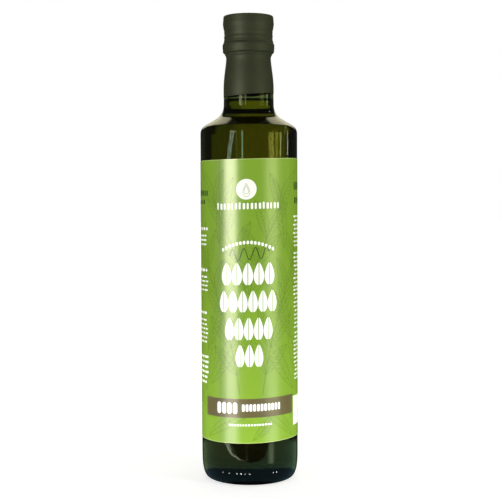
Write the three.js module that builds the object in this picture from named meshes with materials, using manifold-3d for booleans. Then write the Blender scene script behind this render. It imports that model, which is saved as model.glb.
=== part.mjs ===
import * as THREE from 'three';
import { mergeVertices } from 'three/addons/utils/BufferGeometryUtils.js';
import Module from 'manifold-3d';

// A round half-litre bottle of olive oil: dark glass, a wraparound label, a shrink capsule over the cap.
// Millimetres, +Z up, the origin at the middle of the foot, and the middle of the label towards -Y.

// Glass body
const BODY_RADIUS = 30.5;
const WALL = 3.2;
const FOOT_INNER_RADIUS = 21.8;
const FOOT_OUTER_RADIUS = 23.7;
const HEEL_HEIGHT = 19.8;
const HEEL_SQUARENESS = 3.2;
const PUNT_HEIGHT = 6;
const BASE_THICKNESS = 5.5;
const FLOOR_DOME_HEIGHT = 4;
const FLOOR_DOME_RADIUS = 17;
const SHOULDER_START = 218.05;
const SHOULDER_EDGE_RADIUS = 5.7;
const SHOULDER_SLOPE = THREE.MathUtils.degToRad(30.5);
const NECK_FILLET_RADIUS = 10.1;
const NECK_RADIUS = 15.75;
const FINISH_RADIUS = 13.6;
const BORE_RADIUS = 9.5;
const MOUTH_HEIGHT = 289;

// Raised mould dots on the heel
const DOT_RADIUS = 0.55;
const DOT_HEIGHT_ON_HEEL = 7.4;
const DOT_PITCH = THREE.MathUtils.degToRad(4.9);
const DOT_STEPS = [-8, -6, -4, -3, -2, 0, 1, 6, 7];

// Oil
const OIL_LEVEL = 238;
const OIL_CLEARANCE = 0.2;

// Label
const LABEL_BOTTOM = 27.2;
const LABEL_TOP = 201.6;
const LABEL_CLEARANCE = 0.05;
const LABEL_THICKNESS = 0.15;
const LABEL_GAP_AT_BACK = THREE.MathUtils.degToRad(15);
const LABEL_SKEW = THREE.MathUtils.degToRad(1.3);

// Capsule, shrunk over a screw cap 24 mm tall
const TOTAL_HEIGHT = 291.6;
const SKIRT_EDGE_HEIGHT = 241.9;
const SKIRT_EDGE_TILT = THREE.MathUtils.degToRad(4.4);
const SKIRT_TAPER_START = 246;
const SKIRT_RADIUS = 15.8;
const WAIST_HEIGHT = 264.7;
const TAPER_LEAVES_UPRIGHT = 7.4;
const TAPER_ARRIVES_UPRIGHT = 3;
const WAIST_RADIUS = 14.07;
const COLLAR_START = 265.4;
const COLLAR_LOWER_HEIGHT = 269.8;
const COLLAR_LOWER_RADIUS = 16.1;
const COLLAR_CREST_HEIGHT = 272.3;
const COLLAR_CREST_RADIUS = 16.3;
const GROOVE_START = 277.5;
const GROOVE_END = 281.2;
const GROOVE_RADIUS = 15.2;
const HEAD_CREST_HEIGHT = 286.7;
const HEAD_CREST_RADIUS = 16.02;
const HEAD_TOP_RADIUS = 15.7;
const HEAD_EDGE_RADIUS = 0.9;
const FILM = 0.3;
const NECK_CLEARANCE = 0.15;
const CEILING_CLEARANCE = 0.3;

// Even steps round every turned piece, so that the flats of two nested pieces lie side by side
const STEPS_ROUND = 48;

const wasm = await Module();
wasm.setup();

// Points along a circular arc, both ends included
function arc(centreRadius, centreHeight, size, from, to, steps) {
  return Array.from({ length: steps + 1 }, (_, i) => {
    const angle = from + (to - from) * i / steps;
    return new THREE.Vector2(centreRadius + size * Math.cos(angle), centreHeight + size * Math.sin(angle));
  });
}

// An S-shaped passage between two points that leaves and arrives upright
function swell(from, to, steps) {
  return Array.from({ length: steps + 1 }, (_, i) => {
    const t = i / steps;
    const share = (1 - Math.cos(Math.PI * t)) / 2;
    return new THREE.Vector2(from.x + (to.x - from.x) * share, from.y + (to.y - from.y) * t);
  });
}

// The outline with repeated points taken out
function clean(points) {
  return points.filter((p, i) => i === 0 || p.distanceTo(points[i - 1]) > 1e-6);
}

function turned(points) {
  return new THREE.LatheGeometry(clean(points), STEPS_ROUND).rotateX(Math.PI / 2);
}

// The curve from the foot out and up to the upright wall
function heel() {
  const steps = 8;
  return Array.from({ length: steps + 1 }, (_, i) => {
    const angle = Math.PI / 2 * i / steps;
    const out = Math.sin(angle) ** (2 / HEEL_SQUARENESS);
    const up = 1 - Math.cos(angle) ** (2 / HEEL_SQUARENESS);
    return new THREE.Vector2(FOOT_OUTER_RADIUS + (BODY_RADIUS - FOOT_OUTER_RADIUS) * out, HEEL_HEIGHT * up);
  });
}

// The dome pushed up into the base, from the axis out to the foot ring
function punt() {
  const steps = 5;
  return Array.from({ length: steps + 1 }, (_, i) => {
    const t = i / steps;
    return new THREE.Vector2(FOOT_INNER_RADIUS * t, PUNT_HEIGHT * (1 + Math.cos(Math.PI * t)) / 2);
  });
}

// Shoulder and neck foot, moved in from the outside by an inset
function shoulder(inset) {
  const turn = Math.PI / 2 - SHOULDER_SLOPE;
  const edge = SHOULDER_EDGE_RADIUS - inset;
  const fillet = NECK_FILLET_RADIUS + inset;
  const edgeCentre = BODY_RADIUS - SHOULDER_EDGE_RADIUS;
  const filletCentre = NECK_RADIUS + NECK_FILLET_RADIUS;
  const run = edgeCentre - filletCentre
    + (SHOULDER_EDGE_RADIUS + NECK_FILLET_RADIUS) * Math.cos(turn);
  const rise = run * Math.tan(SHOULDER_SLOPE)
    + (SHOULDER_EDGE_RADIUS + NECK_FILLET_RADIUS) * Math.sin(turn);
  return [
    ...arc(edgeCentre, SHOULDER_START, edge, 0, turn, 4),
    ...arc(filletCentre, SHOULDER_START + rise, fillet, Math.PI + turn, Math.PI, 5),
  ];
}

// The outside of the capsule from the start of its taper to the waist
function taper() {
  const curve = new THREE.CubicBezierCurve(
    new THREE.Vector2(SKIRT_RADIUS, SKIRT_TAPER_START),
    new THREE.Vector2(SKIRT_RADIUS, SKIRT_TAPER_START + TAPER_LEAVES_UPRIGHT),
    new THREE.Vector2(WAIST_RADIUS, WAIST_HEIGHT - TAPER_ARRIVES_UPRIGHT),
    new THREE.Vector2(WAIST_RADIUS, WAIST_HEIGHT),
  );
  return curve.getPoints(7);
}

function shiftedIn(points, amount) {
  return points.map((p) => new THREE.Vector2(p.x - amount, p.y));
}

// The room inside the glass, from the middle of its floor up to where the neck begins
function cavity(inset) {
  const wall = WALL + inset;
  const floor = PUNT_HEIGHT + BASE_THICKNESS + inset;
  const trough = floor - FLOOR_DOME_HEIGHT;
  const corner = BODY_RADIUS - wall - FLOOR_DOME_RADIUS;
  const dome = Array.from({ length: 5 }, (_, i) => {
    const t = i / 4;
    const share = (1 + Math.cos(Math.PI * t)) / 2;
    return new THREE.Vector2(FLOOR_DOME_RADIUS * t, trough + FLOOR_DOME_HEIGHT * share);
  });
  const bend = Array.from({ length: 7 }, (_, i) => {
    const angle = Math.PI / 2 * i / 6;
    const radius = FLOOR_DOME_RADIUS + corner * Math.sin(angle);
    return new THREE.Vector2(radius, trough + corner * (1 - Math.cos(angle)));
  });
  return [...dome, ...bend, ...shoulder(wall)];
}

// A closed geometry as a solid that can be joined to others
function solid(geometry) {
  const bare = geometry.clone();
  bare.deleteAttribute('normal');
  bare.deleteAttribute('uv');
  const merged = mergeVertices(bare, 1e-4);
  const corners = merged.index.array;
  const triangles = [];
  for (let i = 0; i < corners.length; i += 3) {
    const [a, b, c] = corners.slice(i, i + 3);
    if (a !== b && b !== c && c !== a) {
      triangles.push(a, b, c);
    }
  }
  return new wasm.Manifold(new wasm.Mesh({
    numProp: 3,
    vertProperties: new Float32Array(merged.attributes.position.array),
    triVerts: new Uint32Array(triangles),
  }));
}

function geometryOf(body) {
  const mesh = body.getMesh();
  const geometry = new THREE.BufferGeometry();
  geometry.setAttribute('position', new THREE.BufferAttribute(mesh.vertProperties, 3));
  geometry.setIndex(new THREE.BufferAttribute(mesh.triVerts, 1));
  geometry.computeVertexNormals();
  return geometry;
}

// The outer radius of the heel at a height
function heelRadiusAt(height) {
  const up = 1 - height / HEEL_HEIGHT;
  const out = (1 - up ** HEEL_SQUARENESS) ** (1 / HEEL_SQUARENESS);
  return FOOT_OUTER_RADIUS + (BODY_RADIUS - FOOT_OUTER_RADIUS) * out;
}

// The bottle of one piece: punt, foot ring, heel, wall, shoulder, neck, mouth, and the room inside
function glassBottle() {
  const neckInside = NECK_RADIUS - WALL;
  const outside = [
    ...punt(),
    ...heel(),
    ...shoulder(0),
    new THREE.Vector2(SKIRT_RADIUS - FILM - NECK_CLEARANCE, SKIRT_EDGE_HEIGHT - 2),
    ...shiftedIn(taper(), FILM + NECK_CLEARANCE),
    new THREE.Vector2(FINISH_RADIUS, MOUTH_HEIGHT),
  ];
  const room = cavity(0);
  const inside = [
    new THREE.Vector2(BORE_RADIUS, MOUTH_HEIGHT),
    new THREE.Vector2(BORE_RADIUS, WAIST_HEIGHT),
    new THREE.Vector2(neckInside, SKIRT_TAPER_START),
    ...room.reverse(),
  ];
  let body = solid(turned([...outside, ...inside]));
  const heelRadius = heelRadiusAt(DOT_HEIGHT_ON_HEEL);
  for (const step of DOT_STEPS) {
    const angle = step * DOT_PITCH - Math.PI / 2;
    const dot = new THREE.SphereGeometry(DOT_RADIUS, 8, 6);
    dot.translate(heelRadius * Math.cos(angle), heelRadius * Math.sin(angle), DOT_HEIGHT_ON_HEEL);
    body = body.add(solid(dot));
  }
  return geometryOf(body);
}

// The oil, up to its level in the neck
function oil() {
  const room = cavity(OIL_CLEARANCE);
  const neckInside = NECK_RADIUS - WALL - OIL_CLEARANCE;
  return turned([
    ...room,
    new THREE.Vector2(neckInside, OIL_LEVEL),
    new THREE.Vector2(0, OIL_LEVEL),
  ]);
}

// A band round the body, open at the back and wrapped on slightly askew
function label() {
  const inner = BODY_RADIUS + LABEL_CLEARANCE;
  const outer = inner + LABEL_THICKNESS;
  const start = Math.PI / 2 + LABEL_GAP_AT_BACK / 2;
  const end = start + 2 * Math.PI - LABEL_GAP_AT_BACK;
  const steps = Math.round((end - start) / (2 * Math.PI / STEPS_ROUND));
  const outline = [...arc(0, 0, outer, start, end, steps), ...arc(0, 0, inner, end, start, steps)];
  const depth = LABEL_TOP - LABEL_BOTTOM;
  const geometry = new THREE.ExtrudeGeometry(new THREE.Shape(outline), { depth, bevelEnabled: false });
  geometry.translate(0, 0, LABEL_BOTTOM);
  const position = geometry.attributes.position;
  for (let i = 0; i < position.count; i += 1) {
    position.setZ(i, position.getZ(i) + position.getX(i) * Math.tan(LABEL_SKEW));
  }
  return geometry;
}

// The capsule: a thin skirt on the neck, a collar, a groove and the flat-topped head of the cap under it
function capsule() {
  const bore = FINISH_RADIUS + NECK_CLEARANCE;
  const ceiling = MOUTH_HEIGHT + CEILING_CLEARANCE;
  const inside = [
    new THREE.Vector2(0, ceiling),
    new THREE.Vector2(bore, ceiling),
    ...shiftedIn(taper(), FILM).reverse(),
    new THREE.Vector2(SKIRT_RADIUS - FILM, SKIRT_EDGE_HEIGHT),
  ];
  const point = (radius, height) => new THREE.Vector2(radius, height);
  const headEdge = TOTAL_HEIGHT - HEAD_EDGE_RADIUS;
  const outside = [
    point(SKIRT_RADIUS, SKIRT_EDGE_HEIGHT),
    ...taper(),
    ...swell(point(WAIST_RADIUS, COLLAR_START), point(COLLAR_LOWER_RADIUS, COLLAR_LOWER_HEIGHT), 5),
    point(COLLAR_CREST_RADIUS, COLLAR_CREST_HEIGHT),
    ...swell(point(COLLAR_CREST_RADIUS, COLLAR_CREST_HEIGHT), point(GROOVE_RADIUS, GROOVE_START), 4),
    ...swell(point(GROOVE_RADIUS, GROOVE_END), point(HEAD_CREST_RADIUS, HEAD_CREST_HEIGHT), 4),
    ...arc(HEAD_TOP_RADIUS - HEAD_EDGE_RADIUS, headEdge, HEAD_EDGE_RADIUS, 0, Math.PI / 2, 3),
    point(0, TOTAL_HEIGHT),
  ];
  const geometry = turned([...inside, ...outside]);
  const position = geometry.attributes.position;
  for (let i = 0; i < position.count; i += 1) {
    if (position.getZ(i) < SKIRT_EDGE_HEIGHT + 0.01) {
      position.setZ(i, position.getZ(i) + position.getX(i) * Math.tan(SKIRT_EDGE_TILT));
    }
  }
  return geometry;
}

function piece(name, geometry, color, roughness) {
  const mesh = new THREE.Mesh(geometry, new THREE.MeshStandardMaterial({ color, roughness, metalness: 0 }));
  mesh.name = name;
  return mesh;
}

const bottle = new THREE.Group();
bottle.add(piece('glass_bottle', glassBottle(), 0x1e2a16, 0.05));
bottle.add(piece('oil', oil(), 0x8a7a1a, 0.1));
bottle.add(piece('label', label(), 0x8cb43c, 0.4));
bottle.add(piece('capsule', capsule(), 0x3c3e2e, 0.6));

export default bottle;
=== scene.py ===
import math
import random

import bmesh
import bpy
from mathutils import Matrix


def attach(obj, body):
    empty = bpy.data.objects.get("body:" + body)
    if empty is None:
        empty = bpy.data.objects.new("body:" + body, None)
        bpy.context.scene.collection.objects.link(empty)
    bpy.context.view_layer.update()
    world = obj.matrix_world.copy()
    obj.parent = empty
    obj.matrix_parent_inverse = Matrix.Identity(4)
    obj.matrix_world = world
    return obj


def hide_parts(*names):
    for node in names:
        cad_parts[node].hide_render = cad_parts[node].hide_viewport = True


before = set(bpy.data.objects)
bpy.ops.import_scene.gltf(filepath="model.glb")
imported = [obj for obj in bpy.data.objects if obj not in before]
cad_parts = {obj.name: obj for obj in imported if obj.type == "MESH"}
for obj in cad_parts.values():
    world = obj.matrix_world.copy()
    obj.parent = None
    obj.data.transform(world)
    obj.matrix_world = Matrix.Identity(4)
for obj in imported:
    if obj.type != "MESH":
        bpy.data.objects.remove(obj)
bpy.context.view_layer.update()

# Glass bottle
# One blown piece of dark green glass: a domed base on a narrow foot ring, a squarish heel, a straight
# wall, a sharp shoulder and a neck that runs up into the capsule.
MM = 0.001
STEPS_ROUND = 192
BODY_RADIUS = 30.5 * MM
WALL = 3.2 * MM
FOOT_INNER = 21.8 * MM
FOOT_OUTER = 23.7 * MM
HEEL_HEIGHT = 19.8 * MM
HEEL_SQUARENESS = 3.2
PUNT_HEIGHT = 6 * MM
BASE_THICKNESS = 5.5 * MM
FLOOR_DOME_HEIGHT = 4 * MM
FLOOR_DOME_RADIUS = 17 * MM
SHOULDER_START = 218.05 * MM
SHOULDER_EDGE = 5.7 * MM
SHOULDER_SLOPE = math.radians(30.5)
NECK_FILLET = 10.1 * MM
NECK_RADIUS = 15.75 * MM
NECK_FLARE_START = 236 * MM
SKIRT_EDGE_HEIGHT = 241.9 * MM
SKIRT_TAPER_START = 246 * MM
SKIRT_RADIUS = 15.8 * MM
WAIST_HEIGHT = 264.7 * MM
WAIST_RADIUS = 14.07 * MM
FILM = 0.12 * MM
FILM_GAP = 0.04 * MM
FINISH_START = WAIST_HEIGHT + 2 * MM
FINISH_RADIUS = 13.6 * MM
BORE_RADIUS = 9.5 * MM
MOUTH_HEIGHT = 289 * MM
WALL_TOP = SHOULDER_START - 0.4 * MM
CRISP = math.radians(40)


def arc(centre_radius, centre_height, size, start, end, steps):
    """Points along a circular arc in the outline's plane, both ends included."""
    angles = [start + (end - start) * i / steps for i in range(steps + 1)]
    return [(centre_radius + size * math.cos(a), centre_height + size * math.sin(a)) for a in angles]


def swell(low, high, steps):
    """An S-shaped passage between two points that leaves and arrives upright."""
    points = []
    for i in range(steps + 1):
        share = (1 - math.cos(math.pi * i / steps)) / 2
        points.append((low[0] + (high[0] - low[0]) * share, low[1] + (high[1] - low[1]) * i / steps))
    return points


def straight(start, end, steps):
    """Points evenly along a straight stretch, both ends included."""
    return [(start[0] + (end[0] - start[0]) * i / steps, start[1] + (end[1] - start[1]) * i / steps)
            for i in range(steps + 1)]


def punt(steps):
    """The dome under the base, from the axis out to the foot ring."""
    return [(FOOT_INNER * i / steps, PUNT_HEIGHT * (1 + math.cos(math.pi * i / steps)) / 2)
            for i in range(steps + 1)]


def heel(steps):
    """The squarish curve from the foot ring out and up to the upright wall."""
    points = []
    for i in range(steps + 1):
        angle = math.pi / 2 * i / steps
        out = math.sin(angle) ** (2 / HEEL_SQUARENESS)
        up = 1 - max(math.cos(angle), 0) ** (2 / HEEL_SQUARENESS)
        points.append((FOOT_OUTER + (BODY_RADIUS - FOOT_OUTER) * out, HEEL_HEIGHT * up))
    return points


def shoulder(inset):
    """Shoulder and neck fillet, moved in from the outside by an inset."""
    turn = math.pi / 2 - SHOULDER_SLOPE
    edge_centre = BODY_RADIUS - SHOULDER_EDGE
    fillet_centre = NECK_RADIUS + NECK_FILLET
    run = edge_centre - fillet_centre + (SHOULDER_EDGE + NECK_FILLET) * math.cos(turn)
    rise = run * math.tan(SHOULDER_SLOPE) + (SHOULDER_EDGE + NECK_FILLET) * math.sin(turn)
    edge = arc(edge_centre, SHOULDER_START, SHOULDER_EDGE - inset, 0, turn, 14)
    fillet = arc(fillet_centre, SHOULDER_START + rise, NECK_FILLET + inset, math.pi + turn, math.pi, 14)
    return edge[:-1] + straight(edge[-1], fillet[0], 6) + fillet[1:]


def taper(inset, steps):
    """The capsule's long taper from the neck to the waist, moved in by an inset."""
    leaves, arrives = 7.4 * MM, 3 * MM
    ends = (SKIRT_RADIUS, SKIRT_TAPER_START), (WAIST_RADIUS, WAIST_HEIGHT)
    handles = (SKIRT_RADIUS, SKIRT_TAPER_START + leaves), (WAIST_RADIUS, WAIST_HEIGHT - arrives)
    points = []
    for i in range(steps + 1):
        t = i / steps
        weights = (1 - t) ** 3, 3 * t * (1 - t) ** 2, 3 * t * t * (1 - t), t ** 3
        corners = ends[0], handles[0], handles[1], ends[1]
        radius = sum(w * c[0] for w, c in zip(weights, corners))
        height = sum(w * c[1] for w, c in zip(weights, corners))
        points.append((radius - inset, height))
    return points


def cavity(inset):
    """The room inside the glass, from the middle of its floor up to the neck, made smaller by an inset."""
    wall = WALL + inset
    floor = PUNT_HEIGHT + BASE_THICKNESS + inset
    trough = floor - FLOOR_DOME_HEIGHT
    corner = BODY_RADIUS - wall - FLOOR_DOME_RADIUS
    dome = [(FLOOR_DOME_RADIUS * i / 14, trough + FLOOR_DOME_HEIGHT * (1 + math.cos(math.pi * i / 14)) / 2)
            for i in range(14)]
    bend = arc(FLOOR_DOME_RADIUS, trough + corner, corner, -math.pi / 2, 0, 20)
    return dome + bend + shoulder(wall)


def turned(name, outline):
    """A mesh object made by spinning an outline of (radius, height) points round the Z axis."""
    bm = bmesh.new()
    rim = [bm.verts.new((radius, 0, height)) for radius, height in outline]
    for a, b in zip(rim, rim[1:]):
        bm.edges.new((a, b))
    bmesh.ops.spin(bm, geom=bm.verts[:] + bm.edges[:], cent=(0, 0, 0), axis=(0, 0, 1), dvec=(0, 0, 0),
                   angle=math.tau, steps=STEPS_ROUND, use_merge=True, use_duplicate=False)
    bmesh.ops.remove_doubles(bm, verts=bm.verts, dist=1e-6)
    return finished(name, bm)


def finished(name, bm):
    """The bmesh as an object at the origin, its faces outwards and smooth, its rims crisp."""
    bmesh.ops.recalc_face_normals(bm, faces=bm.faces)
    for face in bm.faces:
        face.smooth = True
    for edge in bm.edges:
        edge.smooth = edge.calc_face_angle(0) < CRISP
    mesh = bpy.data.meshes.new(name)
    bm.to_mesh(mesh)
    bm.free()
    piece = bpy.data.objects.new(name, mesh)
    bpy.context.scene.collection.objects.link(piece)
    return piece


def new_material(name):
    """An empty node material with its shader and output: (material, tree, shader, output)."""
    material = bpy.data.materials.new(name)
    material.use_nodes = True
    tree = material.node_tree
    shader = tree.nodes["Principled BSDF"]
    return material, tree, shader, tree.nodes["Material Output"]


def noise(tree, scale, detail, stretch=(1, 1, 1)):
    """A noise texture on the piece's own Object coordinates, stretched along the axes."""
    place = tree.nodes.new("ShaderNodeTexCoord")
    mapping = tree.nodes.new("ShaderNodeMapping")
    mapping.inputs["Scale"].default_value = stretch
    texture = tree.nodes.new("ShaderNodeTexNoise")
    texture.inputs["Scale"].default_value = scale
    texture.inputs["Detail"].default_value = detail
    tree.links.new(place.outputs["Object"], mapping.inputs["Vector"])
    tree.links.new(mapping.outputs["Vector"], texture.inputs["Vector"])
    return texture


def add_bump(tree, shader, height, strength, distance):
    """Relief from a height output into the shader's normal."""
    bump = tree.nodes.new("ShaderNodeBump")
    bump.inputs["Strength"].default_value = strength
    bump.inputs["Distance"].default_value = distance
    tree.links.new(height, bump.inputs["Height"])
    tree.links.new(bump.outputs["Normal"], shader.inputs["Normal"])


def absorb(tree, output, colour, density):
    """Plain absorption inside a clear piece."""
    volume = tree.nodes.new("ShaderNodeVolumeAbsorption")
    volume.inputs["Color"].default_value = (*colour, 1)
    volume.inputs["Density"].default_value = density
    tree.links.new(volume.outputs["Volume"], output.inputs["Volume"])


inner_neck_radius = NECK_RADIUS - WALL
outer_wall = straight((BODY_RADIUS, HEEL_HEIGHT), (BODY_RADIUS, WALL_TOP), 40)
neck = straight((NECK_RADIUS, NECK_FLARE_START), (SKIRT_RADIUS - FILM - FILM_GAP, SKIRT_EDGE_HEIGHT), 4)
under_film = taper(FILM + FILM_GAP, 24)
mouth = [(FINISH_RADIUS, FINISH_START), (FINISH_RADIUS, MOUTH_HEIGHT),
         (BORE_RADIUS, MOUTH_HEIGHT), (BORE_RADIUS, WAIST_HEIGHT)]
inner_neck = straight((inner_neck_radius, SKIRT_TAPER_START), (inner_neck_radius, NECK_FLARE_START), 6)
room = cavity(0)
bottle_outline = punt(24) + heel(48) + outer_wall[1:] + shoulder(0) + neck[1:] + under_film
bottle_outline += mouth + inner_neck + room[::-1][1:]
glass = turned("bottle_glass", bottle_outline)

material, tree, shader, output = new_material("dark_glass")
shader.inputs["Base Color"].default_value = (1, 1, 1, 1)
shader.inputs["Roughness"].default_value = 0.015
shader.inputs["IOR"].default_value = 1.52
shader.inputs["Transmission Weight"].default_value = 1
waves = noise(tree, 260, 1.5, (1, 1, 0.55))
add_bump(tree, shader, waves.outputs["Fac"], 0.05, 0.0002)
absorb(tree, output, (0.60, 0.72, 0.0), 250)
glass.data.materials.append(material)
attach(glass, "root")
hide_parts("glass_bottle")

# Mould dots
# A broken row of small raised beads on the heel, pressed from the same glass as the bottle. They are dark
# and fire-polished, so that each one catches a spark of light.
DOT_RADIUS = 0.55 * MM
DOT_HEIGHT = 8.0 * MM
DOT_PITCH = math.radians(4.9)
DOT_STEPS = (-6.9, -5.15, -3.2, -2.25, -1.2, -0.15, 5.8, 6.75)
dot_up = 1 - DOT_HEIGHT / HEEL_HEIGHT
dot_out = (1 - dot_up ** HEEL_SQUARENESS) ** (1 / HEEL_SQUARENESS)
dot_ring = FOOT_OUTER + (BODY_RADIUS - FOOT_OUTER) * dot_out
bm = bmesh.new()
for pitches in DOT_STEPS:
    angle = pitches * DOT_PITCH - math.pi / 2
    place = Matrix.Translation((dot_ring * math.cos(angle), dot_ring * math.sin(angle), DOT_HEIGHT))
    bmesh.ops.create_icosphere(bm, subdivisions=3, radius=DOT_RADIUS, matrix=place)
dots = finished("mould_dots", bm)
material, tree, shader, _ = new_material("polished_dots")
shader.inputs["Roughness"].default_value = 0.3
shader.inputs["IOR"].default_value = 1.52
tint = tree.nodes.new("ShaderNodeMixRGB")
tint.inputs["Color1"].default_value = (0.004, 0.009, 0.008, 1)
tint.inputs["Color2"].default_value = (0.012, 0.022, 0.018, 1)
cloud = noise(tree, 900, 2)
tree.links.new(cloud.outputs["Fac"], tint.inputs["Fac"])
tree.links.new(tint.outputs["Color"], shader.inputs["Base Color"])
dots.data.materials.append(material)
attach(dots, "root")

# Oil
# Olive oil up to a level just under the capsule, drawn up the glass in a small meniscus. It reaches
# a little way into the wall, so that no air shows between them.
OIL_LEVEL = 238 * MM
INTO_WALL = 0.25 * MM
MENISCUS = 2.2 * MM
meniscus_top = OIL_LEVEL + MENISCUS
meniscus_foot = inner_neck_radius - MENISCUS
oil_outline = cavity(-INTO_WALL)
oil_outline += [(inner_neck_radius + INTO_WALL, meniscus_top), (inner_neck_radius, meniscus_top)]
oil_outline += arc(meniscus_foot, meniscus_top, MENISCUS, 0, -math.pi / 2, 10)[1:]
oil_outline += straight((meniscus_foot, OIL_LEVEL), (0, OIL_LEVEL), 8)[1:]
oil = turned("olive_oil", oil_outline)
material, tree, shader, output = new_material("olive_oil")
shader.inputs["Base Color"].default_value = (1, 1, 1, 1)
shader.inputs["Roughness"].default_value = 0
shader.inputs["IOR"].default_value = 1.47
shader.inputs["Specular IOR Level"].default_value = 0.05
shader.inputs["Transmission Weight"].default_value = 1
absorb(tree, output, (0.90, 0.86, 0.0), 150)
oil.data.materials.append(material)
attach(oil, "root")
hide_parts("oil")

# Capsule
# A matte plastic film shrunk over the screw cap and the top of the neck. The cap's collar, its thread
# and its rim press through it, and its lower edge runs a little uphill to the right.
TOTAL_HEIGHT = 291.6 * MM
EDGE_TILT = math.tan(math.radians(4.4))
COLLAR_START = 265.4 * MM
COLLAR_LOWER = (16.1 * MM, 269.8 * MM)
COLLAR_CREST = (16.3 * MM, 272.3 * MM)
GROOVE_RADIUS = 15.2 * MM
GROOVE_START = 277.5 * MM
GROOVE_END = 281.2 * MM
HEAD_CREST = (16.02 * MM, 286.7 * MM)
HEAD_TOP_RADIUS = 15.7 * MM
HEAD_EDGE = 0.9 * MM
ROW = 0.3 * MM
RINGS = ((267.9, 0.35, -0.55), (268.7, 0.35, 0.15), (269.6, 0.55, 0.10), (271.6, 0.5, 0.09),
         (273.5, 0.5, 0.12), (275.0, 0.6, -0.16), (279.4, 0.6, -0.10), (281.1, 0.5, 0.08), (283.5, 0.6, 0.10))
THREAD_HEIGHT = 277.7
THREAD_DROP = 2.4
THREAD_RISE = 1.5
THREAD_RELIEF = 0.2
THREAD_WIDTH = 0.5
KNOB_HEIGHT = 279.1
KNOB_ANGLE = 92
KNOB_SPREAD = 25
KNOB_RELIEF = 0.25
MOST_RELIEF = 0.1


def rows(start, end):
    """How many even rows, about ROW high, fit between two points."""
    return max(2, round(math.dist(start, end) / ROW))


bore = FINISH_RADIUS + FILM_GAP
ceiling = MOUTH_HEIGHT + FILM_GAP
groove_low = (GROOVE_RADIUS, GROOVE_START)
groove_high = (GROOVE_RADIUS, GROOVE_END)
collar_low = (WAIST_RADIUS, COLLAR_START)
head_low = (HEAD_TOP_RADIUS, TOTAL_HEIGHT - HEAD_EDGE)
top_edge = (HEAD_TOP_RADIUS - HEAD_EDGE, TOTAL_HEIGHT)
bore_foot = WAIST_HEIGHT + 1 * MM
inside = [(0, ceiling), (bore, ceiling), (bore, bore_foot)] + taper(FILM, 24)[::-1]
inside += straight((SKIRT_RADIUS - FILM, SKIRT_TAPER_START), (SKIRT_RADIUS - FILM, SKIRT_EDGE_HEIGHT), 6)[1:]
outside = straight((SKIRT_RADIUS, SKIRT_EDGE_HEIGHT), (SKIRT_RADIUS, SKIRT_TAPER_START), 14)
outside += taper(0, 60)[1:]
outside += swell(collar_low, COLLAR_LOWER, rows(collar_low, COLLAR_LOWER))
outside += straight(COLLAR_LOWER, COLLAR_CREST, rows(COLLAR_LOWER, COLLAR_CREST))[1:]
outside += swell(COLLAR_CREST, groove_low, rows(COLLAR_CREST, groove_low))[1:]
outside += straight(groove_low, groove_high, rows(groove_low, groove_high))[1:]
outside += swell(groove_high, HEAD_CREST, rows(groove_high, HEAD_CREST))[1:]
outside += straight(HEAD_CREST, head_low, rows(HEAD_CREST, head_low))[1:]
outside += arc(HEAD_TOP_RADIUS - HEAD_EDGE, TOTAL_HEIGHT - HEAD_EDGE, HEAD_EDGE, 0, math.pi / 2, 8)[1:]
outside += straight(top_edge, (0, TOTAL_HEIGHT), 12)[1:]
capsule = turned("shrink_capsule", inside + outside)


def ridge(height, centre, width, amount):
    """How far a soft ring stands out at a height, or in where its amount is negative, in millimetres."""
    return amount * math.exp(-((height - centre) / width) ** 2)


def relief_at(level, angle):
    """What presses through the film at a height and an angle from the front: rings, the thread and a knob."""
    late = min(max((angle - 20) / 70, 0), 1)
    early = min(max((-60 - angle) / 80, 0), 1)
    crest = THREAD_HEIGHT - THREAD_DROP * late * late * (3 - 2 * late) + THREAD_RISE * early
    knob = math.exp(-((angle - KNOB_ANGLE) / KNOB_SPREAD) ** 2)
    return (sum(ridge(level, *ring) for ring in RINGS) + ridge(level, crest, THREAD_WIDTH, THREAD_RELIEF)
            + ridge(level, KNOB_HEIGHT, THREAD_WIDTH, KNOB_RELIEF) * knob)


for vertex in capsule.data.vertices:
    x, y, z = vertex.co
    radius = math.hypot(x, y)
    if z < SKIRT_TAPER_START:
        share = (SKIRT_TAPER_START - z) / (SKIRT_TAPER_START - SKIRT_EDGE_HEIGHT)
        vertex.co.z += x * EDGE_TILT * share
    elif z > WAIST_HEIGHT and radius > bore + 0.1 * MM and z < TOTAL_HEIGHT - HEAD_EDGE:
        room_left = (COLLAR_CREST[0] - radius) / MM + MOST_RELIEF
        out = min(relief_at(z / MM, math.degrees(math.atan2(x, -y))), room_left)
        vertex.co.x += x / radius * out * MM
        vertex.co.y += y / radius * out * MM


grain_group = bpy.data.node_groups.new("mottled_grain", "ShaderNodeTree")
for name, kind in (("Color", "NodeSocketColor"), ("Scale", "NodeSocketFloat"),
                   ("Mottling", "NodeSocketFloat"), ("Relief", "NodeSocketFloat")):
    grain_group.interface.new_socket(name, in_out="INPUT", socket_type=kind)
for name, kind in (("Color", "NodeSocketColor"), ("Normal", "NodeSocketVector")):
    grain_group.interface.new_socket(name, in_out="OUTPUT", socket_type=kind)
given = grain_group.nodes.new("NodeGroupInput")
result = grain_group.nodes.new("NodeGroupOutput")
place = grain_group.nodes.new("ShaderNodeTexCoord")
fine = grain_group.nodes.new("ShaderNodeTexNoise")
fine.inputs["Detail"].default_value = 3
broad = grain_group.nodes.new("ShaderNodeTexNoise")
broad.inputs["Scale"].default_value = 60
broad.inputs["Detail"].default_value = 4
shade = grain_group.nodes.new("ShaderNodeMath")
shade.operation = "MULTIPLY_ADD"
shade.inputs[2].default_value = 1
centred = grain_group.nodes.new("ShaderNodeMath")
centred.operation = "SUBTRACT"
centred.inputs[1].default_value = 0.5
tinted = grain_group.nodes.new("ShaderNodeVectorMath")
tinted.operation = "SCALE"
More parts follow.
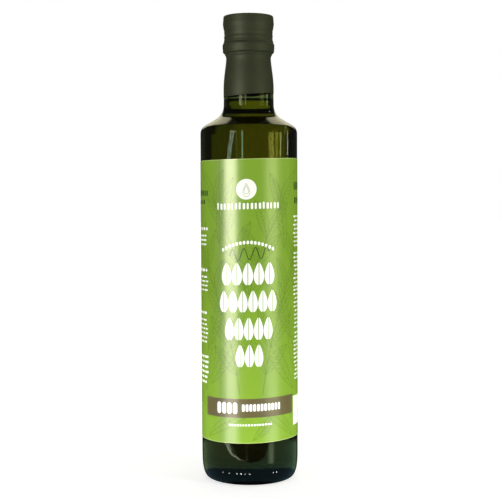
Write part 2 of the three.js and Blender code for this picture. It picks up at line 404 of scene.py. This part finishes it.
relief = grain_group.nodes.new("ShaderNodeBump")
relief.inputs["Distance"].default_value = 0.1 * MM
grain_links = (
    (place.outputs["Object"], fine.inputs["Vector"]),
    (given.outputs["Scale"], fine.inputs["Scale"]),
    (place.outputs["Object"], broad.inputs["Vector"]),
    (broad.outputs["Fac"], centred.inputs[0]),
    (centred.outputs["Value"], shade.inputs[0]),
    (given.outputs["Mottling"], shade.inputs[1]),
    (given.outputs["Color"], tinted.inputs[0]),
    (shade.outputs["Value"], tinted.inputs["Scale"]),
    (fine.outputs["Fac"], relief.inputs["Height"]),
    (given.outputs["Relief"], relief.inputs["Strength"]),
    (tinted.outputs["Vector"], result.inputs["Color"]),
    (relief.outputs["Normal"], result.inputs["Normal"]),
)
for source, target in grain_links:
    grain_group.links.new(source, target)


def add_grain(tree, shader, colour, scale, mottling, relief):
    """A colour with a faint mottling, and a fine grain in the surface."""
    node = tree.nodes.new("ShaderNodeGroup")
    node.node_tree = grain_group
    node.inputs["Color"].default_value = (*colour, 1)
    for name, value in (("Scale", scale), ("Mottling", mottling), ("Relief", relief)):
        node.inputs[name].default_value = value
    tree.links.new(node.outputs["Color"], shader.inputs["Base Color"])
    tree.links.new(node.outputs["Normal"], shader.inputs["Normal"])


material, tree, shader, _ = new_material("capsule_film")
shader.inputs["Roughness"].default_value = 0.5
shader.inputs["Specular IOR Level"].default_value = 0.14
shader.inputs["Specular Tint"].default_value = (0.92, 1, 0.75, 1)
add_grain(tree, shader, (0.026, 0.028, 0.015), 2500, 0.25, 0.15)
capsule.data.materials.append(material)
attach(capsule, "root")
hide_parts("capsule")

# Label
# One strip of satin-varnished paper, green all over with a white core that shows at its cut edges, glued
# round the body slightly askew so that its right side stands higher, with a narrow gap at the back.
LABEL_BOTTOM = 27.2 * MM
LABEL_TOP = 201.6 * MM
LABEL_INNER = 30.52 * MM
LABEL_PAPER = 0.1 * MM
LABEL_FACE = LABEL_INNER + LABEL_PAPER
LABEL_GAP = math.radians(15)
LABEL_SKEW = math.tan(math.radians(1.3))
HALF_WRAP = (math.pi - LABEL_GAP / 2) * LABEL_FACE
PAPER_GREEN = (0.200, 0.340, 0.028)
PAPER_WHITE = (0.95, 0.95, 0.88)
VARNISH = 0.26


def wrap(bm, lift):
    """Bends a flat sheet round the body. In it x runs along the arc from the label's middle, z is the height
    and y is 0 on the side of the glass and negative towards the face."""
    for vertex in bm.verts:
        angle = vertex.co.x / LABEL_FACE
        radius = LABEL_INNER + lift - vertex.co.y
        x = radius * math.sin(angle)
        vertex.co = (x, -radius * math.cos(angle), vertex.co.z + x * LABEL_SKEW)


def thicken(bm, thickness):
    """Gives flat faces a depth towards the face side, closed all round."""
    grown = bmesh.ops.extrude_face_region(bm, geom=bm.faces[:])["geom"]
    front = [item for item in grown if isinstance(item, bmesh.types.BMVert)]
    bmesh.ops.translate(bm, verts=front, vec=(0, -thickness, 0))


def paper(name, colour, roughness):
    """Printed paper: its colour, a fine mottling, and a grain under the varnish."""
    material, tree, shader, _ = new_material(name)
    shader.inputs["Roughness"].default_value = roughness
    add_grain(tree, shader, colour, 900, 0.06, 0.08)
    return material


bm = bmesh.new()
bmesh.ops.create_grid(bm, x_segments=230, y_segments=4, size=0.5)
bmesh.ops.transform(bm, verts=bm.verts, matrix=Matrix.Rotation(math.pi / 2, 4, "X"))
bmesh.ops.scale(bm, verts=bm.verts, vec=(2 * HALF_WRAP, 1, LABEL_TOP - LABEL_BOTTOM))
bmesh.ops.translate(bm, verts=bm.verts, vec=(0, 0, (LABEL_TOP + LABEL_BOTTOM) / 2))
thicken(bm, LABEL_PAPER)
wrap(bm, 0)
bm.normal_update()
for face in bm.faces:
    face.material_index = int(abs(face.normal.z) > 0.7)
label = finished("paper_label", bm)
label.data.materials.append(paper("label_stock", PAPER_GREEN, VARNISH))
label.data.materials.append(paper("paper_core", PAPER_WHITE, 0.6))
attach(label, "root")
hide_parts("label")

# Printing
# Flat inks on the label, each a thin skin: sprigs of long leaves a shade darker than the paper, a brown
# band, white leaves and dashes, and plain dark strokes. Nothing in them is writing.
INK = 0.04 * MM
BEND_STEP = 1.5 * MM
FIRST_INK = LABEL_PAPER - 0.03 * MM
SECOND_INK = FIRST_INK + 0.01 * MM
THIRD_INK = SECOND_INK + 0.01 * MM
FOURTH_INK = THIRD_INK + 0.01 * MM
LINE = 0.34
LEAF_GREEN = (0.132, 0.235, 0.018)
BAND_BROWN = (0.112, 0.088, 0.036)
STROKE_GREEN = (0.036, 0.076, 0.014)
EMBLEM_GREY = (0.48, 0.50, 0.34)
RIM_GREEN = (0.42, 0.52, 0.16)
SEAM_SHADE_GREEN = (0.115, 0.20, 0.018)


def shape(bm, outline):
    """A flat field of ink from points of (arc length, height) in millimetres."""
    face = bm.faces.new([bm.verts.new((x * MM, 0, z * MM)) for x, z in outline])
    face.normal_update()
    if face.normal.y > 0:
        face.normal_flip()


def box(bm, left, right, low, high):
    """A plain upright field."""
    shape(bm, ((left, low), (right, low), (right, high), (left, high)))


def disc(bm, x, z, radius):
    """A round field."""
    shape(bm, [(x + radius * math.cos(math.tau * i / 40), z + radius * math.sin(math.tau * i / 40))
               for i in range(40)])


def pill(bm, left, right, low, high):
    """A bar with half-round ends, upright or lying."""
    radius = min(right - left, high - low) / 2
    corners = ((right - radius, low + radius, -90), (right - radius, high - radius, 0),
               (left + radius, high - radius, 90), (left + radius, low + radius, 180))
    points = []
    for x, z, start in corners:
        for i in range(5):
            turn = math.radians(start + 90 * i / 4)
            points.append((x + radius * math.cos(turn), z + radius * math.sin(turn)))
    shape(bm, [p for i, p in enumerate(points) if math.dist(p, points[i - 1]) > 0.001])


def stroke(bm, points, width):
    """A line of even width along a run of points."""
    rails = []
    for i, (x, z) in enumerate(points):
        (ax, az), (bx, bz) = points[max(i - 1, 0)], points[min(i + 1, len(points) - 1)]
        run = math.hypot(bx - ax, bz - az)
        across = width / 2 * (bz - az) / run, -width / 2 * (bx - ax) / run
        rails.append([bm.verts.new(((x + s * across[0]) * MM, 0, (z + s * across[1]) * MM)) for s in (1, -1)])
    for (a, b), (c, d) in zip(rails, rails[1:]):
        face = bm.faces.new((a, b, d, c))
        face.normal_update()
        if face.normal.y > 0:
            face.normal_flip()


def printed(name, bm, lift, colour, roughness=VARNISH):
    """Cuts the ink into narrow strips, thickens it, bends it round the bottle and gives it its material."""
    reach = [vertex.co.x for vertex in bm.verts]
    for i in range(math.ceil(min(reach) / BEND_STEP), math.floor(max(reach) / BEND_STEP) + 1):
        bmesh.ops.bisect_plane(bm, geom=bm.verts[:] + bm.edges[:] + bm.faces[:],
                               plane_co=(i * BEND_STEP, 0, 0), plane_no=(1, 0, 0))
    thicken(bm, INK)
    wrap(bm, lift)
    print_piece = finished(name, bm)
    print_piece.data.materials.append(paper(name, colour, roughness))
    satin_prints.append(print_piece)
    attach(print_piece, "root")


def leaf(bm, x, low, width, height):
    """An upright full leaf in two halves, with a bare vein between them."""
    vein = 0.22
    narrowest = 0.35
    for side in (-1, 1):
        points = []
        for i in range(1, 24):
            t = i / 24
            out = width / 2 * math.sin(math.pi * t ** 0.75) ** 0.78
            if out > narrowest:
                points.append((x + side * out, low + height * t))
        points.append((x + side * vein, points[-1][1]))
        points.append((x + side * vein, points[0][1]))
        shape(bm, points)


def blade(bm, x, z, lean, length, width, bow):
    """The outline of a long narrow leaf that grows from a point at a lean to the right, with its veins."""
    along = math.sin(lean), math.cos(lean)
    across = math.cos(lean), -math.sin(lean)

    def point(t, share):
        side = share * width / 2 * math.sin(math.pi * t) ** 0.85 + bow * 4 * t * (1 - t)
        return (x + along[0] * length * t + across[0] * side, z + along[1] * length * t + across[1] * side)

    for share in (-1, 0, 1):
        stroke(bm, [point(i / 18, share) for i in range(19)], LINE)
    for i in range(2, 9):
        for share in (-1, 1):
            stroke(bm, [point(i / 11, 0), point(i / 11 + 0.1, share * 0.97)], LINE * 0.7)


satin_prints = []
SPRIGS = ((-1, -2, 57, 5), (1, 4, 57, 5), (-1, 3, 112, 4), (1, -6, 108, 4))
LOOSE_BLADES = (
    (-27, 63, 0.5, 44, 9, 2), (-31, 84, 0.35, 40, 8, 1.5), (-34, 58, 0.2, 42, 8, 2),
    (33, 58, -0.55, 46, 9, -2), (30, 90, -0.3, 38, 8, -1.5), (37, 66, -0.15, 44, 8, -2),
    (-30, 30, 1.1, 36, 7, -2), (31, 29, -0.9, 30, 7, 2), (2, 29, 0.7, 22, 6, 1),
    (-20, 150, 0.25, 42, 8, -2), (24, 146, -0.2, 44, 8, 2), (-38, 118, 0.1, 46, 8, 2),
    (39, 112, -0.1, 44, 8, -2))
blades = bmesh.new()
for side, middle, foot, turns in SPRIGS:
    stem = []
    for i in range(21):
        t = i / 20
        stem.append((middle + side * (4 + 25 * t - 4 * math.sin(math.pi * t)), foot + (95 - foot / 4) * t))
    stroke(blades, stem, LINE * 1.4)
    for i in range(turns):
        x, z = stem[3 + 4 * i if turns == 5 else 3 + 5 * i]
        blade(blades, x, z, side * (0.75 - 0.05 * i), 24 + 2 * i, 7, -side * 1.5)
        blade(blades, x, z, side * (-0.35 + 0.03 * i), 27 - i, 6.5, side * 1.5)
for placing in LOOSE_BLADES:
    blade(blades, *placing)
printed("grass_print", blades, FIRST_INK, LEAF_GREEN)

band = bmesh.new()
BAND = (-32.1, 31.6, 43.1, 54.8)
box(band, *BAND)
printed("brown_band", band, SECOND_INK, BAND_BROWN, 0.3)

dark = bmesh.new()
WAVE_START = -12.2
WAVE_LENGTH = 24.8
WAVE_HEIGHT = 142.8
WAVE_SWING = 3.6
WAVE_LIFT = 1.8
WAVE_TURNS = 3.5
wave = []
for i in range(91):
    t = i / 90
    lift = WAVE_LIFT * t + WAVE_SWING * math.sin(math.tau * WAVE_TURNS * t)
    wave.append((WAVE_START + WAVE_LENGTH * t, WAVE_HEIGHT + lift))
stroke(dark, wave, 0.6)
DARK_ROWS = ((34.6, 50, 182.0, 187.2), (35.6, 47, 173.4, 177.6), (-50, -31.2, 179.4, 183.2),
             (-46, -33.4, 174.4, 177.4))
DARK_BAR = 1.7
DARK_PITCH = 2.6
for left, right, low, high in DARK_ROWS:
    for i in range(math.ceil((right - left) / DARK_PITCH)):
        pill(dark, left + DARK_PITCH * i, left + DARK_PITCH * i + DARK_BAR, low, high)
printed("dark_print", dark, THIRD_INK, STROKE_GREEN)

white = bmesh.new()
EMBLEM = (-1.65, 183.1)
EMBLEM_RADIUS = 6.3
disc(white, *EMBLEM, EMBLEM_RADIUS)
TOP_BARS = 17
TOP_START = -21.1
TOP_PITCH = 2.46
for i in range(TOP_BARS):
    left = TOP_START + TOP_PITCH * i
    wider = 0.3 * (i % 2)
    taller = 0.5 * (i % 6 == 0)
    pill(white, left, left + 1.2 + wider, 170.9, 174.8 + taller)
BOW_BEADS = 15
BOW_START = -16.8
BOW_PITCH = 2.28
BOW_CREST = (-0.9, 149.6)
for i in range(BOW_BEADS):
    x = BOW_START + BOW_PITCH * i
    foot = BOW_CREST[1] - 0.017 * (x - BOW_CREST[0]) ** 2
    pill(white, x - 0.8, x + 0.8, foot, foot + 2.3)
LEAF_ROWS = ((5, -18.0, 16.2, 124.2, 138.8), (6, -19.6, 17.7, 107.6, 121.7),
             (5, -15.8, 14.8, 90.5, 105.2), (3, -8.8, 8.6, 73.9, 88.6))
for count, left, right, low, high in LEAF_ROWS:
    pitch = (right - left) / count
    for i in range(count):
        leaf(white, left + pitch * (i + 0.5), low, pitch * 0.96, high - low)
BAR_ROWS = ((4, -21.8, 3.7, 2.9, 45.4, 52.6), (11, -4.9, 2.32, 1.7, 46.9, 51.5),
            (16, -13.4, 1.75, 1.2, 37.8, 39.2))
for count, left, pitch, width, low, high in BAR_ROWS:
    for i in range(count):
        pill(white, left + pitch * i, left + pitch * i + width, low, high)

PRINT_EDGE = 58
DASH_GAP = 0.9
LINE_PITCH = 2.6
LEFT_BLOCKS = ((160.2, 157.8, 1.9), (155.5, 148, 1.1), (134.4, 132, 1.9), (129.8, 120, 1.1),
               (107.6, 105.4, 1.7), (102.8, 86, 1.1), (80, 60, 1.5))
RIGHT_BLOCKS = ((166, 146), (143, 122), (120, 96), (93, 62))
RIGHT_TALL = 1.1
draw = random.Random(4)


def dashes(bm, side, start, shortest, longest, low, high):
    """A line of dashes of uneven length, from a start outwards to the left or the right."""
    x = start
    while x < PRINT_EDGE:
        length = draw.uniform(shortest, longest)
        left, right = sorted((side * x, side * (x + length)))
        pill(bm, left, right, low, high)
        x += length + DASH_GAP


for first, last, tall in LEFT_BLOCKS:
    z = first
    while z - tall >= last:
        dashes(white, -1, 29.6 + draw.uniform(0, 3.4), 2.0, 5.0, z - tall, z)
        z -= LINE_PITCH * tall ** 0.5
for first, last in RIGHT_BLOCKS:
    z = first
    while z > last:
        dashes(white, 1, 33.8 + draw.uniform(0, 2.6), 1.6, 4.5, z - RIGHT_TALL, z)
        z -= LINE_PITCH
WHITE_FIELD = (33.2, PRINT_EDGE, 34.7, 53)
box(white, *WHITE_FIELD)
printed("white_print", white, THIRD_INK, PAPER_WHITE)

emblem = bmesh.new()
DROP_HALF_WIDTH = 2.9
DROP_HALF_HEIGHT = 4.1
DROP_LOWERED = 0.4
for size in (1, 0.62):
    outline = []
    for i in range(41):
        turn = math.tau * i / 40
        out = DROP_HALF_WIDTH * size * math.sin(turn) * abs(math.sin(turn / 2)) ** 1.25
        up = DROP_HALF_HEIGHT * size * math.cos(turn) - DROP_LOWERED
        outline.append((EMBLEM[0] + out, EMBLEM[1] + up))
    stroke(emblem, outline, 0.35)
printed("emblem_drop", emblem, FOURTH_INK, EMBLEM_GREY)

rims = bmesh.new()
RIM = 0.35
side_edge = HALF_WRAP / MM
foot, top = LABEL_BOTTOM / MM, LABEL_TOP / MM
box(rims, -side_edge, side_edge, foot, foot + RIM)
box(rims, -side_edge, side_edge, top - RIM, top)
printed("pale_rims", rims, FIRST_INK, RIM_GREEN)

# A thin darker line down the front of the label: painted shade where the paper has a seam.
seam_shade = bmesh.new()
SEAM_SHADE_SPAN = (-19.45, -19.25)
box(seam_shade, *SEAM_SHADE_SPAN, foot, top)
printed("painted_seam_shade", seam_shade, FIRST_INK, SEAM_SHADE_GREEN)

# Stage
# A pale floor that only the camera sees, a dark disc of painted shade for the table in shadow, which shows
# only through the glass, and a room that is white to the camera, with bright patches of its own for what the
# glass mirrors and for what shows through it. Soft panels light the label and the capsule.
FLOOR_GLOW = (("From Min", 0.06), ("From Max", 0.4), ("To Min", 0.78), ("To Max", 1.0))
bm = bmesh.new()
bmesh.ops.create_circle(bm, cap_ends=True, segments=96, radius=6)
floor = finished("floor", bm)
floor.visible_diffuse = False
floor.visible_glossy = False
floor.visible_transmission = False
floor.visible_shadow = False
material, tree, shader, _ = new_material("pale_floor")
shader.inputs["Base Color"].default_value = (0.6, 0.6, 0.6, 1)
shader.inputs["Roughness"].default_value = 0.9
shader.inputs["Specular IOR Level"].default_value = 0
shader.inputs["Emission Strength"].default_value = 1
spot = tree.nodes.new("ShaderNodeTexCoord")
reach = tree.nodes.new("ShaderNodeVectorMath")
reach.operation = "LENGTH"
glow = tree.nodes.new("ShaderNodeMapRange")
for name, value in FLOOR_GLOW:
    glow.inputs[name].default_value = value
tree.links.new(spot.outputs["Object"], reach.inputs[0])
tree.links.new(reach.outputs["Value"], glow.inputs["Value"])
tree.links.new(glow.outputs["Result"], shader.inputs["Emission Color"])
floor.data.materials.append(material)

# A near-black disc of painted shade round the bottle's foot, seen only through the glass.
bm = bmesh.new()
bmesh.ops.create_circle(bm, cap_ends=True, segments=96, radius=0.3)
bmesh.ops.translate(bm, verts=bm.verts, vec=(0, 0, -0.5 * MM))
table_shade = finished("table_shade", bm)
table_shade.visible_camera = False
table_shade.visible_diffuse = False
table_shade.visible_glossy = False
table_shade.visible_shadow = False
material, _, shader, _ = new_material("shaded_table")
shader.inputs["Base Color"].default_value = (0.01, 0.01, 0.012, 1)
shader.inputs["Roughness"].default_value = 0.9
table_shade.data.materials.append(material)

world = bpy.data.worlds.new("studio")
bpy.context.scene.world = world
world.use_nodes = True
world_tree = world.node_tree
background = world_tree.nodes["Background"]
WALL_RISES = (1, 3.7)
NECK_RISES = (3.8, 14)
LEAN = -8
LEAN_START = 1.9
BOWL_SPREAD = 0.0165
BOWL_SHIFT = -0.04
BOWL_DEPTH = 2.6
TABLE_EDGE = -12.4
TABLE_BLUR = 0.15
EDGING_LEAN = 26
EDGING_DROP = 12.6
BREAK_SCALES = (0.4, 12)
BREAK_STRENGTH = 1.9


def world_node(kind, inputs=(), **settings):
    """A node of the room's light, with its first inputs joined or set."""
    node = world_tree.nodes.new(kind)
    for key, value in settings.items():
        setattr(node, key, value)
    for socket, value in zip(node.inputs, inputs):
        if isinstance(value, bpy.types.NodeSocket):
            world_tree.links.new(value, socket)
        else:
            socket.default_value = value
    return node


def world_math(operation, *values):
    """A sum of the room's light."""
    return world_node("ShaderNodeMath", values, operation=operation).outputs["Value"]


def ramp(source, start, end):
    """0 before the start, 1 past the end and smooth between. It runs down when the end is the lower."""
    node = world_node("ShaderNodeMapRange", (source, start, end), interpolation_type="SMOOTHSTEP")
    return node.outputs["Result"]


def window(source, low, high, soft):
    """1 between two angles and 0 outside them."""
    above_low = ramp(source, low - soft, low + soft)
    below_high = ramp(source, high + soft, high - soft)
    return world_math("MULTIPLY", above_low, below_high)


direction = world_node("ShaderNodeTexCoord").outputs["Generated"]
split = world_node("ShaderNodeSeparateXYZ", (direction,)).outputs
to_front = world_math("MULTIPLY", split["Y"], -1)
front = world_math("DEGREES", world_math("ARCTAN2", split["X"], to_front))
behind = world_math("DEGREES", world_math("ARCTAN2", split["X"], split["Y"]))
rise = world_math("DEGREES", world_math("ARCSINE", split["Z"]))
across = world_math("MULTIPLY", front, BREAK_SCALES[0])
upward = world_math("MULTIPLY", rise, BREAK_SCALES[1])
place = world_node("ShaderNodeCombineXYZ", (across, upward, 0))
broken = world_node("ShaderNodeTexNoise", (place.outputs["Vector"],))
broken.inputs["Scale"].default_value = 1
broken.inputs["Detail"].default_value = 2
ragged = world_math("MULTIPLY", ramp(broken.outputs["Fac"], 0.4, 0.6), BREAK_STRENGTH)
rooms = {"mirrored": (0.03, 0.03, 0.032), "through": (0.014, 0.014, 0.018)}


def shine(kind, source, azimuths, soft, rises, fade, colour, breaks=None):
    """Adds a bright patch to the room that the glass mirrors, or to the one that shows through it. Azimuths
    are from the camera's side or from straight behind, positive to the right, and rises above the horizon."""
    amount = world_math("MULTIPLY", window(source, *azimuths, soft), window(rise, *rises, fade))
    if breaks:
        amount = world_math("MULTIPLY", amount, breaks)
    node = world_node("ShaderNodeVectorMath", (colour, amount, rooms[kind]), operation="MULTIPLY_ADD")
    rooms[kind] = node.outputs["Vector"]


shine("mirrored", behind, (-24, 24), 2.5, (13, 46), 3, (1.35, 1.28, 0.85))
shine("mirrored", front, (59, 62.5), 0.5, (36.5, 39.5), 0.3, (150, 150, 120))
shine("mirrored", front, (116, 120), 0.5, (31.5, 34), 0.3, (60, 60, 50))
for left, right, low, high in ((-35, 35, 0, 3.6), (-42, 29, 3.6, 6), (-42, 29, -28, 0)):
    shine("through", behind, (left, 10), 3, (low, high), 0.3, (0.16, 0.19, 0.17))
    shine("through", behind, (10, right), 3, (low, high), 0.3, (0.09, 0.12, 0.13))
lean = world_math("MULTIPLY", world_math("SUBTRACT", rise, LEAN_START), LEAN)
leaning = world_math("ADD", lean, front)
shine("mirrored", leaning, (-52, -42), 1.5, WALL_RISES, 0.3, (2.0, 2.7, 2.1), ragged)
shine("mirrored", front, (-46, -31), 1, NECK_RISES, 0.3, (2.6, 2.8, 1.5), ragged)
shine("mirrored", front, (-17, -13.6), 0.5, WALL_RISES, 0.3, (2.1, 4.7, 3.2))
shine("mirrored", front, (-17, -13), 0.5, (3.8, 13), 0.3, (2.3, 2.6, 1.8))
shine("mirrored", front, (-30.2, -28.8), 0.3, (1, 12), 0.4, (0.7, 1.2, 0.5))
shine("mirrored", front, (48, 62), 2, WALL_RISES, 0.4, (2.7, 2.75, 0.45), ragged)
shine("mirrored", front, (65, 74), 2, WALL_RISES, 0.4, (1.9, 1.95, 0.2), ragged)
shine("mirrored", front, (78.5, 82.5), 0.8, WALL_RISES, 0.4, (3.8, 3.8, 1.3))
shine("mirrored", front, (102, 107), 1, WALL_RISES, 0.4, (3.2, 3.2, 2.6), ragged)
shine("mirrored", front, (57, 61), 1, NECK_RISES, 0.3, (1.3, 1.4, 0.4))
shine("mirrored", front, (66, 71), 1, NECK_RISES, 0.3, (1.6, 1.7, 0.5))
shine("mirrored", front, (92, 97), 1, NECK_RISES, 0.3, (2.2, 2.2, 1.2))
sides = world_math("POWER", world_math("MULTIPLY_ADD", front, BOWL_SPREAD, BOWL_SHIFT), 2)
bowl = world_math("POWER", world_math("MAXIMUM", world_math("SUBTRACT", 1, sides), 0), 3)
table = world_math("MULTIPLY_ADD", bowl, BOWL_DEPTH, rise)
lit = ramp(table, TABLE_EDGE + TABLE_BLUR, TABLE_EDGE - TABLE_BLUR)
shine("mirrored", front, (-150, 0), 12, (-20, -6), 1.5, (0.26, 0.42, 0.18), lit)
shine("mirrored", front, (0, 150), 12, (-20, -6), 1.5, (0.22, 0.45, 0.22), lit)
edging = world_math("MULTIPLY_ADD", world_math("ADD", rise, EDGING_DROP), EDGING_LEAN, front)
shine("mirrored", edging, (-60, -53), 3, (-14, -12), 0.5, (3.3, 3.5, 2.7))
shine("mirrored", front, (-8.6, -6.6), 0.5, (-15, -12), 0.3, (0.5, 0.6, 0.3))
shine("mirrored", front, (46, 58), 6, (-16, -12), 1, (1.5, 1.9, 1.1))
shine("mirrored", front, (-150, 150), 10, (-60, -19), 5, (0.06, 0.14, 0.17))
path = world_node("ShaderNodeLightPath")
room_light = world_node("ShaderNodeMix", data_type="RGBA")
world_tree.links.new(path.outputs["Is Transmission Ray"], room_light.inputs["Factor"])
world_tree.links.new(rooms["mirrored"], room_light.inputs["A"])
world_tree.links.new(rooms["through"], room_light.inputs["B"])
shown = world_node("ShaderNodeMix", data_type="RGBA")
shown.inputs["B"].default_value = (1, 1, 1, 1)
world_tree.links.new(path.outputs["Is Camera Ray"], shown.inputs["Factor"])
world_tree.links.new(room_light.outputs["Result"], shown.inputs["A"])
world_tree.links.new(shown.outputs["Result"], background.inputs["Color"])

PANEL_DISTANCE = 1.3
WARM = (1, 0.9, 0.78)
YELLOW = (1, 0.95, 0.6)
satin_pieces = bpy.data.collections.new("satin_pieces")
for piece in (label, capsule, *satin_prints):
    satin_pieces.objects.link(piece)


def panel(name, azimuth, centre, distance, width, height, radiance, colour=(1, 1, 1), mirrored=False,
          lights=satin_pieces):
    """An upright soft panel that faces the bottle's axis and lights one set of pieces alone, either their
    gloss, when mirrored, or their colour. Azimuth 0 is the camera's side, positive to the right."""
    data = bpy.data.lights.new(name, "AREA")
    data.shape = "RECTANGLE"
    data.size, data.size_y = width, height
    data.energy = radiance * math.pi * width * height
    data.color = colour
    lamp = bpy.data.objects.new(name, data)
    around = Matrix.Rotation(math.radians(azimuth), 4, "Z")
    upright = Matrix.Rotation(math.pi / 2, 4, "X")
    lamp.matrix_world = around @ Matrix.Translation((0, -distance, centre)) @ upright
    lamp.visible_glossy = mirrored
    lamp.visible_diffuse = not mirrored
    lamp.visible_transmission = False
    lamp.light_linking.receiver_collection = lights
    bpy.context.scene.collection.objects.link(lamp)
    return lamp


panel("key_upper", -44, 0.27, PANEL_DISTANCE, 0.68, 0.65, 16.5, WARM, True)
panel("key_lower", -44, -0.38, PANEL_DISTANCE, 0.68, 0.65, 6.5, WARM, True)
panel("right_bright", 55, 0.07, PANEL_DISTANCE, 0.7, 0.24, 4, YELLOW, True)
panel("right_soft", 55, 0.0, PANEL_DISTANCE, 0.7, 1.3, 2.8, YELLOW, True)
panel("left_fill", -58, 0.0, PANEL_DISTANCE, 1.0, 1.2, 5.0)
panel("right_fill", 58, 0.0, PANEL_DISTANCE, 1.0, 1.2, 4.6)
for side in (-1, 1):
    low_fill = panel("low_fill", side * 45, 0.0, 0.33, 0.15, 0.08, 1.2)
    low_fill.data.spread = math.radians(45)
beads = bpy.data.collections.new("beads")
beads.objects.link(dots)
panel("bead_lamp", 20, 0.8, 1.0, 0.5, 0.5, 900, (1, 1, 0.95), True, beads)
data = bpy.data.lights.new("floor_light", "AREA")
data.size = 1
data.energy = 6
floor_light = bpy.data.objects.new("floor_light", data)
floor_light.location = (0, 0, 1.5)
floor_light.visible_glossy = False
floor_light.visible_transmission = False
bpy.context.scene.collection.objects.link(floor_light)

# Camera
# At the photograph's height and distance, tipped slightly down, with the bottle a touch left of the
# middle of the picture.
CAMERA_DISTANCE = 726.2 * MM
CAMERA_HEIGHT = 182.1 * MM
CAMERA_SIDE = 0.47 * MM
CAMERA_PITCH = math.radians(2.91)
CAMERA_ROLL = math.radians(-0.225)
lens = bpy.data.cameras.new("camera")
lens.sensor_fit = "HORIZONTAL"
lens.sensor_width = 36
lens.lens = 82.44
lens.clip_start = 0.01
camera = bpy.data.objects.new("camera", lens)
camera.matrix_world = (Matrix.Translation((CAMERA_SIDE, -CAMERA_DISTANCE, CAMERA_HEIGHT))
                       @ Matrix.Rotation(math.pi / 2 - CAMERA_PITCH, 4, "X")
                       @ Matrix.Rotation(CAMERA_ROLL, 4, "Z"))
bpy.context.scene.collection.objects.link(camera)
bpy.context.scene.camera = camera
bpy.context.scene.view_settings.view_transform = "Standard"
